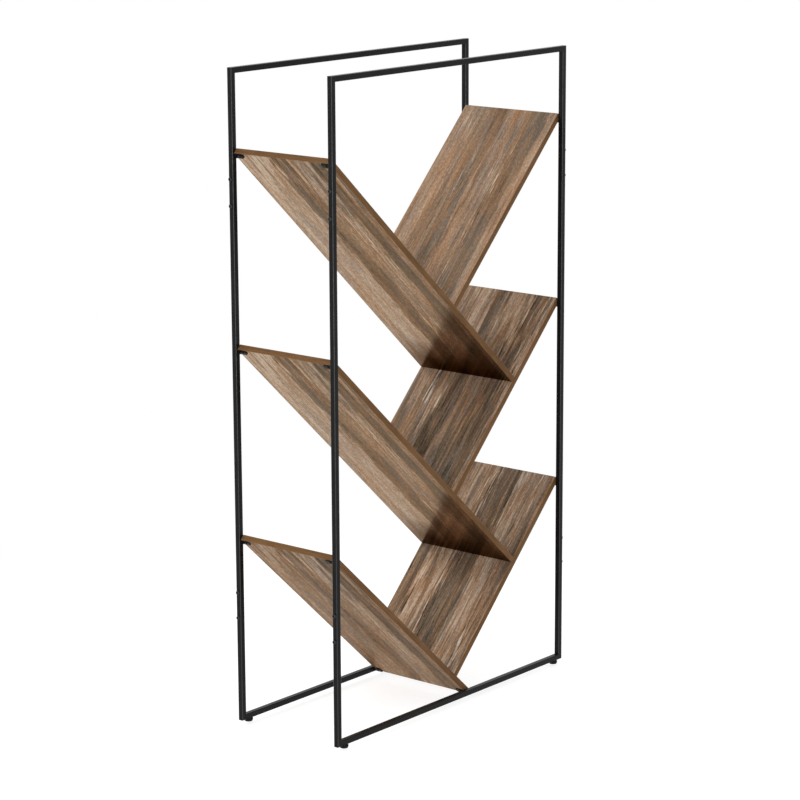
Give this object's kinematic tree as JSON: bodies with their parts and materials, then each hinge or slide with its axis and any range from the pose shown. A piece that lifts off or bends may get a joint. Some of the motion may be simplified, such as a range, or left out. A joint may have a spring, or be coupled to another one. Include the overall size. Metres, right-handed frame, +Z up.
{
  "type": "zigzag bookshelf",
  "caption": "Tall open bookcase: two slim rectangular tube frames on levelling feet, joined by sloping boards that meet in a zigzag and cradle books in V-shaped spaces.",
  "frame": {"origin": "on the floor under the middle of the shelf, with the feet screwed right in", "axes": "+Z up, +X to the right along the width as seen from the front, +Y to the back"},
  "size_m": [0.847, 0.313, 1.5125],
  "materials": {
    "powder_coat": "satin black powder coat",
    "plank_laminate": "matt laminate with a rustic mixed-plank print, brown and taupe",
    "edge_band": "matt brown wood-grain edge band",
    "sleeve_steel": "plain steel",
    "black_screw": "black oxide",
    "zinc_fitting": "bright zinc plate",
    "dowel_wood": "plain beech",
    "foot_plastic": "black moulded plastic",
    "foot_insert_steel": "zinc-plated steel",
    "stem_steel": "zinc-plated steel thread"
  },
  "bodies": {
    "shelf": {"back_bottom_rail": "powder_coat", "back_left_lower_post": "powder_coat", "back_left_middle_post": "powder_coat", "back_left_upper_post": "powder_coat", "back_rail_tab": "powder_coat", "back_right_lower_post": "powder_coat", "back_right_middle_post": "powder_coat", "back_right_upper_post": "powder_coat", "back_top_rail": "powder_coat", "cam_bolts": "zinc_fitting", "cam_locks": "zinc_fitting", "connecting_screws": "zinc_fitting", "dowels": "dowel_wood", "foot_inserts": "foot_insert_steel", "front_bottom_rail": "powder_coat", "front_left_lower_post": "powder_coat", "front_left_middle_post": "powder_coat", "front_left_upper_post": "powder_coat", "front_rail_tab": "powder_coat", "front_right_lower_post": "powder_coat", "front_right_middle_post": "powder_coat", "front_right_upper_post": "powder_coat", "front_top_rail": "powder_coat", "left_shelf_lower": "plank_laminate", "left_shelf_lower_back_tab": "powder_coat", "left_shelf_lower_edging": "edge_band", "left_shelf_lower_front_tab": "powder_coat", "left_shelf_middle": "plank_laminate", "left_shelf_middle_back_tab": "powder_coat", "left_shelf_middle_edging": "edge_band", "left_shelf_middle_front_tab": "powder_coat", "left_shelf_upper": "plank_laminate", "left_shelf_upper_back_tab": "powder_coat", "left_shelf_upper_edging": "edge_band", "left_shelf_upper_front_tab": "powder_coat", "post_screws": "black_screw", "post_sleeves": "sleeve_steel", "right_shelf_lower": "plank_laminate", "right_shelf_lower_back_tab": "powder_coat", "right_shelf_lower_edging": "edge_band", "right_shelf_lower_front_tab": "powder_coat", "right_shelf_middle": "plank_laminate", "right_shelf_middle_back_tab": "powder_coat", "right_shelf_middle_edging": "edge_band", "right_shelf_middle_front_tab": "powder_coat", "right_shelf_upper": "plank_laminate", "right_shelf_upper_back_tab": "powder_coat", "right_shelf_upper_edging": "edge_band", "right_shelf_upper_front_tab": "powder_coat", "tab_screws": "black_screw"},
    "front_left_foot": {"front_left_foot_pad": "foot_plastic", "front_left_foot_stem": "stem_steel"},
    "front_right_foot": {"front_right_foot_pad": "foot_plastic", "front_right_foot_stem": "stem_steel"},
    "back_left_foot": {"back_left_foot_pad": "foot_plastic", "back_left_foot_stem": "stem_steel"},
    "back_right_foot": {"back_right_foot_pad": "foot_plastic", "back_right_foot_stem": "stem_steel"}
  },
  "joints": [
    {"name": "front_left_foot_height", "type": "slide", "parent": "shelf", "child": "front_left_foot", "axis": [0, 0, -1], "range_m": [0, 0.006]},
    {"name": "front_right_foot_height", "type": "slide", "parent": "shelf", "child": "front_right_foot", "axis": [0, 0, -1], "range_m": [0, 0.006]},
    {"name": "back_left_foot_height", "type": "slide", "parent": "shelf", "child": "back_left_foot", "axis": [0, 0, -1], "range_m": [0, 0.006]},
    {"name": "back_right_foot_height", "type": "slide", "parent": "shelf", "child": "back_right_foot", "axis": [0, 0, -1], "range_m": [0, 0.006]}
  ]
}
